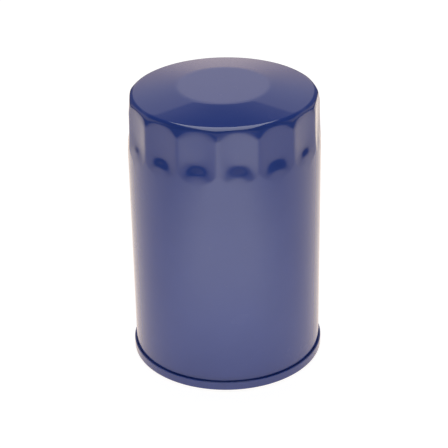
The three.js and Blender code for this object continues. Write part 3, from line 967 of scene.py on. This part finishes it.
@dataclass
class ThreadedPlate:
    """The thick steel plate with the threaded neck in its middle and the inlet holes round it."""

    thickness: float = 3.2 * MM
    pitch: float = 25.4 * MM / 16
    thread_depth: float = 0.86 * MM
    flank: float = 1.35  # steepness of the thread's sides before they are clipped
    crest: float = 0.2  # and how much of the wave is clipped at its crests
    thread_rows: int = 131
    chamfer: float = 1.0 * MM
    neck_wall: float = 4.5 * MM
    fillet: float = 1.6 * MM
    holes: int = 8
    hole: float = 3.5 * MM
    hole_chamfer: float = 0.35 * MM
    rim_edge: float = 0.5 * MM
    neck_edge: float = 0.6 * MM
    margin: float = 1.6 * MM  # from a hole to the edge of the patch round it
    samples: int = 64

    def thread(self, plate: Span, angle: np.ndarray) -> np.ndarray:
        """The thread inside the neck.

        The radius is the minor radius plus the depth times a triangle wave of height / pitch - angle / turn,
        clipped to flat crests and roots, or the chamfer's cone at either end where that is wider.

        Args:
            plate: How far the plate and its neck reach.
            angle: The columns' angles.

        Returns:
            A grid from the neck's end down to the underside.
        """
        z = np.linspace(plate.top, plate.bottom, self.thread_rows)[:, None]
        wave = np.abs((z / self.pitch - angle / TURN) % 1 * 2 - 1)
        radius = plate.inner + self.thread_depth * np.clip(self.flank * wave - self.crest, 0, 1)
        from_end = np.minimum(plate.top - z, z - plate.bottom)
        return around(np.maximum(radius, plate.inner + self.chamfer - from_end), angle, z)

    def plate(self) -> bpy.types.Object:
        """Makes the plate: patches round the holes, the neck inside them and the rim outside.

        A patch is a piece of the ring with its hole. Its first parameter runs from the patch's edge in to the
        hole along the underside, up the hole's wall and back along the top; its second goes round.

        Returns:
            The object.
        """
        plate, lid = Span.of("base_plate"), Span.of("seam_lid")
        low, high = plate.bottom, plate.bottom + self.thickness
        neck = plate.inner + self.neck_wall
        circle = (neck + lid.inner) / 2
        near, far = circle - self.hole - self.margin, circle + self.hole + self.margin
        c = self.hole_chamfer
        edge, hole = square_walk(self.samples), hole_walk(self.samples)
        inwards, outwards = [0, 0.3, 0.6, 0.85, 0.97, 1, 1], [0, 0, 0, 0, c, c, 0]
        share = np.array(inwards + inwards[::-1])[:, None, None]
        widen = np.array(outwards + outwards[::-1])[:, None, None]
        height = np.array([low] * 6 + [low + c, high - c] + [high] * 6)[:, None]
        surface = Surface()
        half = TURN / self.holes / 2
        for i in range(self.holes):
            middle = FIRST_FLUTE + 2 * half * i
            radius = circle + (far - near) / 2 * edge[:, 1]
            rim = around(radius, middle + half * edge[:, 0], np.float64(0))[:, :2]
            out = np.array([math.sin(middle), -math.cos(middle)])
            across = np.array([math.cos(middle), math.sin(middle)])
            wide = hole[:, :1] * across + hole[:, 1:] * out
            grid = np.empty((len(share), self.samples, 3))
            grid[..., :2] = rim * (1 - share) + (circle * out + (self.hole + widen) * wide) * share
            grid[..., 2] = height
            surface.add(grid, close_columns=True)
        columns = self.holes * self.samples // 4
        angle = FIRST_FLUTE - half + np.arange(columns) * TURN / columns
        rim = [(far, high), (plate.outer, high), (plate.outer, low), (far, low)]
        rim = rounded(rim, self.rim_edge, closed=False)
        surface.add(lathe_grid(rim, columns, angle[0]), close_columns=True)
        under = np.array([(near, low), (neck, low), (plate.inner + self.chamfer, low)])
        surface.add(lathe_grid(under, columns, angle[0]), close_columns=True)
        surface.add(self.thread(plate, angle), close_columns=True)
        outside = rounded(
            [(plate.inner + self.chamfer, plate.top), (neck, plate.top), (neck, high), (near, high)],
            [0, self.neck_edge, self.fillet, 0], closed=False,
        )
        surface.add(lathe_grid(outside, columns, angle[0]), close_columns=True)
        return surface.build("threaded_plate")

    def build(self, dresser: Dresser) -> None:
        """Makes the plate and dresses it with the dresser."""
        dresser.dress(self.plate(), "base_plate", ZINC, Body.HOUSING)


@dataclass
class BaseFittings:
    """What lies on the base: the gasket, the bead in the seam, the drain-back valve and its washer."""

    gasket: Ring = Ring("sealing_gasket", "gasket", NITRILE, Body.HOUSING, 0.6 * MM, steps=7, facets=240)
    bead: Ring = Ring("seam_bead", "seam_sealant", COMPOUND, Body.HOUSING, 0.2 * MM, steps=3, facets=180)
    washer: Ring = Ring("backing_washer", "valve_backing_washer", ZINC, Body.HOUSING, 0.25 * MM)
    skirt: float = 1.2 * MM
    collar: float = 2.2 * MM
    stand: float = 1.2 * MM  # from the skirt's root up to the collar's end
    start: float = 2.0 * MM  # from the lip up to the collar's foot

    def valve(self) -> bpy.types.Object:
        """Makes the rubber collar round the neck and the skirt over the inlet holes, with a bead at its lip.

        Returns:
            The object.
        """
        ring = Span.of("anti_drainback_valve")
        thick, root = self.skirt, ring.inner + self.collar
        crown, foot = ring.top - self.stand, ring.bottom + self.start
        shape = [
            (ring.inner, foot, 0.3), (root, foot, 0.5), (root, crown - 1.6 * thick, 2.2),
            (ring.outer - 2 * thick, ring.bottom + 0.4 * thick, 2.0), (ring.outer - thick, ring.bottom, 0.5),
            (ring.outer, ring.bottom, 0.35), (ring.outer, ring.bottom + thick, 0.5),
            (root + thick, crown, 1.2), (root, ring.top, 0.8), (ring.inner, ring.top, 0.3),
        ]
        return turned("drainback_skirt", pressed(shape, steps=8), 180)

    def build(self, dresser: Dresser) -> None:
        """Makes the four and dresses them.

        Args:
            dresser: What dresses them.
        """
        self.gasket.build(dresser)
        self.bead.build(dresser)
        dresser.dress(self.valve(), "anti_drainback_valve", SILICONE, Body.HOUSING)
        self.washer.build(dresser)


# ---------------------------------------------------------------- the element


@dataclass
class Element:
    """The pleated element: two pressed caps, the bonds in them, the paper, its clip and the inner tube."""

    sheet: float = 0.5 * MM
    rim: float = 5.4 * MM
    collar: float = 4.4 * MM
    bead: float = 0.35 * MM  # depth of the stiffening ring pressed into each cap
    bead_width: float = 2.2 * MM  # half of its width
    folds: int = 48
    paper: float = 0.55 * MM
    tube_rows: int = 7
    tube_holes: int = 6
    tube_hole: float = 2.4 * MM
    tube_samples: int = 32  # points round a hole
    clip_reach: float = 7 * MM
    clip_sheet: float = 0.4 * MM
    clip_half: float = 1.2 * MM  # half of its width
    crease: float = 0.995  # how sharp the paper's folds are, up to 1
    fold_steps: int = 32
    paper_rows: int = 9
    lower_bond: Ring = Ring("lower_bond", "lower_potting", PLASTISOL, Body.ELEMENT, 0.45 * MM)
    upper_bond: Ring = Ring("upper_bond", "upper_potting", PLASTISOL, Body.ELEMENT, 0.45 * MM)

    def cap(self, node: str, name: str, inwards: int) -> bpy.types.Object:
        """A pressed end cap.

        Args:
            node: The CAD node that it stands for.
            name: The new object's name.
            inwards: 1 if the rim turns up, -1 if it turns down.

        Returns:
            The object.
        """
        cap = Span.of(node)
        face = cap.bottom if inwards > 0 else cap.top
        sheet = self.sheet
        tube = cap.inner + sheet
        middle, wide = (tube + cap.outer) / 2, self.bead_width
        shape = [
            (cap.inner, 0, 0.8), (middle - wide, 0, 0.5), (middle - wide / 2, self.bead, 0.5),
            (middle + wide / 2, self.bead, 0.5), (middle + wide, 0, 0.5), (cap.outer, 0, 0.9),
            (cap.outer, self.rim, 0.2), (cap.outer - sheet, self.rim, 0.2), (cap.outer - sheet, sheet, 0.5),
            (tube, sheet, 0.4), (tube, self.collar, 0.2), (cap.inner, self.collar, 0.2),
        ]
        placed = [(r, face + inwards * depth, cut) for r, depth, cut in shape]
        return turned(name, pressed(placed), 180)

    def pleats(self) -> bpy.types.Object:
        """The folded paper.

        The middle of the sheet runs round the axis with radius = mean + swing * s, where s is a triangle wave
        of the angle whose peaks are slightly round: s = asin(crease * cos) / asin(crease). The two faces
        stand half the paper's thickness to either side along the curve's normal.

        Returns:
            The object.
        """
        media = Span.of("pleated_media")
        steps = self.folds * self.fold_steps
        t = np.arange(steps) / steps
        wave = np.cos(TURN * self.folds * t)
        s = np.arcsin(self.crease * wave) / math.asin(self.crease)
        mean = (media.inner + media.outer) / 2
        swing = (media.outer - media.inner - self.paper) / 2
        middle = around(mean + swing * s, FIRST_FLUTE + TURN * t, np.float64(0))[:, :2]
        along = np.roll(middle, -1, axis=0) - np.roll(middle, 1, axis=0)
        normal = np.stack([along[:, 1], -along[:, 0]], -1) / np.linalg.norm(along, axis=1, keepdims=True)
        outer, inner = middle + normal * self.paper / 2, middle - normal * self.paper / 2
        heights = np.linspace(media.bottom, media.top, self.paper_rows)
        rows = [(outer, z) for z in heights] + [(inner, z) for z in heights[::-1]]
        grid = np.stack([np.column_stack([side, np.full(steps, z)]) for side, z in rows])
        surface = Surface()
        surface.add(grid, close_rows=True, close_columns=True)
        return surface.build("filter_pleats")

    def tube(self) -> bpy.types.Object:
        """Makes the perforated tube: rows of staggered windows, and a plain band at either end.

        Returns:
            The object.
        """
        tube = Span.of("centre_tube")
        step = (tube.top - tube.bottom) / (self.tube_rows + 1)
        half_angle = TURN / self.tube_holes / 2
        window = Window(
            tube.outer, tube.inner, half_angle, step / 2, self.tube_hole / tube.outer, self.tube_hole,
            (0, 0.35, 0.7, 0.92, 1), self.tube_samples,
        )
        surface = Surface()
        for row in range(self.tube_rows):
            for place in range(self.tube_holes):
                middle = FIRST_FLUTE + 2 * half_angle * (place + (row % 2) / 2)
                surface.add(window.grid(middle, tube.bottom + (row + 1) * step), close_columns=True)
        columns = self.tube_holes * self.tube_samples // 4
        for end, edge in ((tube.bottom, tube.bottom + step / 2), (tube.top, tube.top - step / 2)):
            band = [(tube.outer, edge), (tube.outer, end), (tube.inner, end), (tube.inner, edge)]
            grid = lathe_grid(np.array(band), columns, FIRST_FLUTE - half_angle)
            surface.add(grid, close_columns=True)
        return surface.build("perforated_tube")

    def clip(self) -> bpy.types.Object:
        """Makes the strip folded over one pleat: an upright section carried along a U with round corners.

        Returns:
            The object.
        """
        clip, media = Span.of("media_clip"), Span.of("pleated_media")
        sheet, half = self.clip_sheet, self.clip_half
        front, back = clip.outer - sheet / 2, media.outer - self.clip_reach
        u = rounded([(-half, back), (-half, front), (half, front), (half, back)], 0.5 * MM, closed=False)
        out = np.array([math.sin(FIRST_FLUTE), -math.cos(FIRST_FLUTE)])
        across = np.array([math.cos(FIRST_FLUTE), math.sin(FIRST_FLUTE)])
        flat = u[:, :1] * across + u[:, 1:] * out
        path = np.column_stack([flat, np.full(len(flat), (clip.bottom + clip.top) / 2)])
        along = np.gradient(path, axis=0)
        side = np.stack([along[:, 1], -along[:, 0], np.zeros(len(path))], -1)
        side /= np.linalg.norm(side, axis=1, keepdims=True)
        rise = np.tile([0.0, 0.0, 1.0], (len(path), 1))
        tall = (clip.top - clip.bottom) / 2
        thin = sheet / 2
        section = [(-thin, -tall), (thin, -tall), (thin, tall), (-thin, tall)]
        return swept("pleat_clip", path, side, rise, rounded(section, 0.12 * MM))

    def build(self, dresser: Dresser) -> None:
        """Makes the element's pieces and dresses them.

        Args:
            dresser: What dresses them.
        """
        for node, name, inwards in (("lower_end_cap", "lower_cap", 1), ("upper_end_cap", "upper_cap", -1)):
            dresser.dress(self.cap(node, name, inwards), node, TIN, Body.ELEMENT)
        self.lower_bond.build(dresser)
        self.upper_bond.build(dresser)
        dresser.dress(self.pleats(), "pleated_media", Paper(), Body.ELEMENT)
        dresser.dress(self.tube(), "centre_tube", TIN, Body.ELEMENT)
        dresser.dress(self.clip(), "media_clip", TIN, Body.ELEMENT)


@dataclass
class Coil:
    """A coil spring of round wire whose two end coils lie flat."""

    wire: float
    foot: float  # radius at the bottom, in the middle of the wire
    head: float
    bottom: float  # the faces that it stands between
    top: float
    turns: float
    flat_turns: float = 0.6
    ease: float = 0.15  # share of the climb by which it starts early and ends late
    steps_per_turn: int = 56
    sides: int = 16

    def build(self, name: str) -> bpy.types.Object:
        """Carries a circle along the coil.

        The height and radius go from the foot to the head with a smoothstep of the turn, which leaves the end
        coils nearly flat.

        Args:
            name: The new object's name.

        Returns:
            The object.
        """
        t = np.linspace(0, 1, int(self.turns * self.steps_per_turn) + 1)
        rise = (t * self.turns - self.flat_turns) / (self.turns - 2 * self.flat_turns)
        climb = smoothstep(rise, -self.ease, 1 + self.ease)
        angle = FIRST_FLUTE + t * self.turns * TURN
        radius = self.foot + (self.head - self.foot) * climb
        height = self.bottom + self.wire / 2 + (self.top - self.bottom - self.wire) * climb
        path = around(radius, angle, height)
        along = np.gradient(path, axis=0)
        along /= np.linalg.norm(along, axis=1, keepdims=True)
        side = around(np.ones_like(angle), angle, np.float64(0))
        up = np.cross(along, side)
        up /= np.linalg.norm(up, axis=1, keepdims=True)
        around_wire = np.arange(self.sides) * TURN / self.sides
        section = self.wire / 2 * np.stack([np.cos(around_wire), np.sin(around_wire)], -1)
        return swept(name, path, np.cross(up, along), up, section)


@dataclass
class BypassValve:
    """The relief valve in the element's closed end: seat, cage, poppet, seal and spring."""

    sheet: float = 0.7 * MM
    windows: int = 4
    window_width: float = 9 * MM
    window_height: float = 6.5 * MM
    window_squareness: float = 7
    flange: float = 2.1 * MM
    disc: float = 0.9 * MM
    stem: float = 2.4 * MM
    wire: float = 1.1 * MM
    turns: float = 4.5
    samples: int = 48
    seat: Ring = Ring("valve_seat", "bypass_seat", ZINC, Body.ELEMENT, 0.3 * MM)
    seal: Ring = Ring("valve_seal", "bypass_seal", NITRILE, Body.BYPASS, 0.3 * MM, facets=120)

    def cage(self) -> bpy.types.Object:
        """Makes the pressed cup, with a rounded window in each quarter of the wall.

        Returns:
            The object.
        """
        cage = Span.of("bypass_cage")
        outer = cage.outer - self.flange
        inner = outer - self.sheet
        low = cage.bottom + self.sheet
        high = low + self.window_height + 2 * self.sheet
        half = TURN / self.windows / 2
        window = Window(
            outer, inner, half, (high - low) / 2, self.window_width / 2 / outer, self.window_height / 2,
            (0, 0.5, 0.9, 1), self.samples, self.window_squareness,
        )
        surface = Surface()
        for i in range(self.windows):
            grid = window.grid(FIRST_FLUTE + 2 * half * (i + 0.5), (low + high) / 2)
            surface.add(grid, close_columns=True)
        columns = self.windows * self.samples // 4
        under = cage.top - self.sheet
        cup = [
            (outer, low, 0), (outer, cage.bottom, 0.5), (cage.inner, cage.bottom, 0.2),
            (cage.inner, low, 0.2), (inner, low, 0),
        ]
        collar = [
            (inner, high, 0), (inner, cage.top, 0.6), (cage.outer, cage.top, 0.2), (cage.outer, under, 0.2),
            (outer, under, 0.2), (outer, high, 0),
        ]
        for shape in (cup, collar):
            grid = lathe_grid(pressed(shape, closed=False), columns, FIRST_FLUTE)
            surface.add(grid, close_columns=True)
        return surface.build("valve_cage")

    def poppet(self) -> bpy.types.Object:
        """Makes the disc on its stem, with a round end and a fillet under the disc.

        Returns:
            The object.
        """
        poppet = Span.of("bypass_poppet")
        under = poppet.top - self.disc
        shape = [
            (0, poppet.bottom, 0), (self.stem, poppet.bottom, 0.9), (self.stem, under, 0.5),
            (poppet.outer, under, 0.3), (poppet.outer, poppet.top, 0.3), (0, poppet.top, 0),
        ]
        return turned("valve_poppet", pressed(shape, closed=False), 120, closed=False)

    def build(self, dresser: Dresser) -> None:
        """Makes the valve's pieces and dresses them. The spring sits between the element and the poppet, on
        no body.

        Args:
            dresser: What dresses them.
        """
        self.seat.build(dresser)
        dresser.dress(self.cage(), "bypass_cage", TIN, Body.ELEMENT)
        dresser.dress(self.poppet(), "bypass_poppet", ZINC, Body.BYPASS)
        self.seal.build(dresser)
        coil = Span.of("bypass_spring")
        middle = coil.outer - self.wire / 2
        spring = Coil(self.wire, middle, middle, coil.bottom, coil.top, self.turns)
        small = dresser.dress(spring.build("valve_spring"), "bypass_spring", SPRING_STEEL, None)
        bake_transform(small)


@dataclass
class HoldDown:
    """The conical spring that holds the element down, wide end at the bottom."""

    wire: float = 2.2 * MM
    turns: float = 3.5

    def build(self, dresser: Dresser) -> None:
        """Makes the spring and dresses it. It sits between the dome and the element, on no body.

        Args:
            dresser: What dresses it.
        """
        coil, half = Span.of("hold_down_spring"), self.wire / 2
        spring = Coil(self.wire, coil.outer - half, coil.inner + half, coil.bottom, coil.top, self.turns)
        large = dresser.dress(spring.build("element_spring"), "hold_down_spring", SPRING_STEEL, None)
        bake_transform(large)


# ---------------------------------------------------------------- the studio


@dataclass
class Studio:
    """A white sweep of floor, bright walls behind and beside, a long soft box overhead, and the camera."""

    wall: float = 0.82  # radiance of the walls
    wall_top: tuple[float, float] = (0.558, 0.576)  # sine of the elevations between which they end
    haze: float = 0.28  # radiance just above them, fading up to the box
    haze_top: tuple[float, float] = (0.56, 0.70)
    wall_front: tuple[float, float] = (-0.35, 0.0)  # they fade between these, from front (-1) to back (1)
    wall_sides: float = 0.28  # how much dimmer the back wall is beside its middle
    wall_middle: tuple[float, float] = (0.02, 0.13)  # sideways, where that starts and is full
    wall_foot: float = 0.06  # how much brighter the walls are low down
    wall_foot_up: tuple[float, float] = (0.2, 0.5)
    wall_gap: tuple[float, float, float, float] = (0.22, 0.32, 0.60, 0.70)  # between back and side walls
    gap_share: float = 0.2  # of the walls' light left there
    low_tone: Colour = (1.0, 0.83, 0.74)
    high_tone: Colour = (0.95, 0.89, 0.92)
    tone_up: tuple[float, float] = (0.15, 0.45)  # sines between which the low tone turns into the high
    front_glow: float = 0.38  # radiance of the room low in front, as far as these sines reach
    glow_front: tuple[float, float] = (-0.95, -0.70)
    glow_up: tuple[float, float] = (0.10, 0.35)
    box_radiance: float = 2.5
    box_width: float = 0.64
    box_front: float = -0.50
    box_back: float = 0.97
    box_height: float = 1.15
    floor_side: Colour = (0.73, 0.58, 0.45)  # light that the floor gives back, beside and behind the can
    floor_front: Colour = (1.78, 1.58, 1.32)  # and in front of it
    near_back: tuple[float, float] = (-0.18, 0.0)  # the front's light fades between these, from front to back
    near_sides: tuple[float, float] = (0.06, 0.26)  # and between these on either side
    floor_lit: tuple[float, float] = (0.42, 0.85)  # the lit floor fades between these distances
    strip_lit: float = 0.5  # share of its light that a strip of the far floor in front keeps
    strip_sides: tuple[float, float] = (0.35, 0.60)
    strip_front: tuple[float, float] = (-0.60, -0.35)
    floor_reach: float = 4.0
    floor_gap: float = 0.05 * MM  # under the gasket
    lens: float = 121.05
    elevation: float = 27.857  # degrees
    distance: float = 0.7445
    aim: float = 69.7 * MM  # height of the aim on the axis
    across: float = 0.86 * MM  # how far the view is shifted
    down: float = 1.31 * MM
    roll: float = -1.058  # degrees

    def world(self) -> None:
        """Makes the surroundings: light by direction, and plain white where the camera sees them."""
        world = bpy.data.worlds.new("studio")
        bpy.context.scene.world = world
        world.use_nodes = True
        graph = Graph(world.node_tree)
        look = graph.node("ShaderNodeTexCoord", output="Generated")
        up, back = graph.axis("Z", look), graph.axis("Y", look)
        off = graph.absolute(graph.axis("X", look))
        walls = (1 - graph.ramp(up, *self.wall_top)) * graph.ramp(back, *self.wall_front)
        walls = walls * (1 - self.wall_sides * graph.ramp(off, *self.wall_middle)) * self.wall
        walls = walls * (1 + self.wall_foot - self.wall_foot * graph.ramp(up, *self.wall_foot_up))
        gap = graph.ramp(off, *self.wall_gap[:2]) * (1 - graph.ramp(off, *self.wall_gap[2:]))
        walls = walls * (1 - (1 - self.gap_share) * gap)
        haze = (1 - graph.ramp(up, *self.haze_top)) * graph.ramp(up, *self.wall_top)
        walls = walls + self.haze * haze * graph.ramp(back, *self.wall_front)
        glow = (1 - graph.ramp(back, *self.glow_front)) * (1 - graph.ramp(up, *self.glow_up))
        walls = walls + self.front_glow * glow
        tone = graph.mix(graph.ramp(up, *self.tone_up), self.low_tone, self.high_tone)
        light = graph.node("ShaderNodeBackground", inputs={"Color": tone, "Strength": walls})
        plain = graph.node("ShaderNodeBackground", inputs={"Color": (1, 1, 1), "Strength": 1.0})
        seen = graph.node("ShaderNodeLightPath", output="Is Camera Ray")
        both = graph.node("ShaderNodeMixShader", inputs={0: seen, 1: light, 2: plain})
        graph.end(both, "ShaderNodeOutputWorld")

    def soft_box(self) -> None:
        """Hangs the soft box: a flat light whose power is its radiance times its area times pi."""
        length = self.box_back - self.box_front
        data = bpy.data.lights.new("soft_box", "AREA")
        data.shape = "RECTANGLE"
        data.size, data.size_y = self.box_width, length
        data.energy = self.box_radiance * math.pi * self.box_width * length
        light = bpy.data.objects.new("soft_box", data)
        light.location = (0, (self.box_front + self.box_back) / 2, self.box_height)
        light.visible_camera = False
        bpy.context.scene.collection.objects.link(light)

    def sweep(self) -> bpy.types.Object:
        """Makes the floor: brightest in front, slightly warm beside and behind, white where it is seen.

        From below it is clear, so that the underside can be looked at.

        Returns:
            The floor.
        """
        reach, level = self.floor_reach, -self.floor_gap
        ends = [(-reach, -reach), (reach, -reach), (reach, reach), (-reach, reach)]
        corners = [(x, y, level) for x, y in ends]
        mesh = bpy.data.meshes.new("studio_floor")
        mesh.from_pydata(corners, [], [(0, 1, 2, 3)])
        floor = bpy.data.objects.new("studio_floor", mesh)
        bpy.context.scene.collection.objects.link(floor)
        material, graph = new_material("white_floor")
        back, off = graph.axis("Y"), graph.absolute(graph.axis("X"))
        near = (1 - graph.ramp(back, *self.near_back)) * (1 - graph.ramp(off, *self.near_sides))
        strip = (1 - graph.ramp(off, *self.strip_sides)) * (1 - graph.ramp(back, *self.strip_front))
        end = graph.ramp(graph.length(graph.place()), *self.floor_lit) * (1 - self.strip_lit * strip)
        tone = graph.mix(near, self.floor_side, self.floor_front)
        lit = {
            "Base Color": graph.mix(end, (0.80, 0.80, 0.80), (0.05, 0.05, 0.05)),
            "Emission Color": graph.mix(end, tone, (0, 0, 0)), "Emission Strength": 1.0,
        }
        plain = {
            "Base Color": (0.30, 0.30, 0.30), "Emission Color": (1, 1, 1), "Emission Strength": 0.92,
        }
        matt = {"Roughness": 0.9, "Specular IOR Level": 0.0}
        kind = "ShaderNodeBsdfPrincipled"
        shaders = [graph.node(kind, inputs={**inputs, **matt}) for inputs in (lit, plain)]
        seen = graph.node("ShaderNodeLightPath", output="Is Camera Ray")
        top = graph.node("ShaderNodeMixShader", inputs={0: seen, 1: shaders[0], 2: shaders[1]})
        under = graph.node("ShaderNodeNewGeometry", output="Backfacing")
        clear = graph.node("ShaderNodeBsdfTransparent")
        graph.end(graph.node("ShaderNodeMixShader", inputs={0: under, 1: top, 2: clear}))
        mesh.materials.append(material)
        return floor

    def camera(self) -> None:
        """Makes the camera and aims it."""
        data = bpy.data.cameras.new("camera")
        data.lens = self.lens
        data.sensor_width = 36
        camera = bpy.data.objects.new("camera", data)
        bpy.context.scene.collection.objects.link(camera)
        tilt = math.radians(self.elevation)
        back = Vector((0, -math.cos(tilt), math.sin(tilt)))
        up = Vector((0, math.sin(tilt), math.cos(tilt)))
        aim = Vector((-self.across, 0, self.aim)) - up * self.down
        turn = Matrix.Rotation(math.pi / 2 - tilt, 4, "X")
        turn = turn @ Matrix.Rotation(math.radians(self.roll), 4, "Z")
        camera.matrix_world = Matrix.Translation(aim + back * self.distance) @ turn
        bpy.context.scene.camera = camera

    def build(self) -> None:
        """Makes all of it, and shows the colours as they are."""
        self.camera()
        self.world()
        self.soft_box()
        self.sweep()
        bpy.context.scene.view_settings.view_transform = "Standard"


def main() -> None:
    """Builds the filter from the outside in, then the studio."""
    logging.basicConfig(level=logging.INFO, format="%(message)s")
    dresser = Dresser()
    assemblies = (Can(), RolledLid(), ThreadedPlate(), BaseFittings(), Element(), BypassValve(), HoldDown())
    for assembly in assemblies:
        assembly.build(dresser)
    Studio().build()


if __name__ == "__main__":
    main()
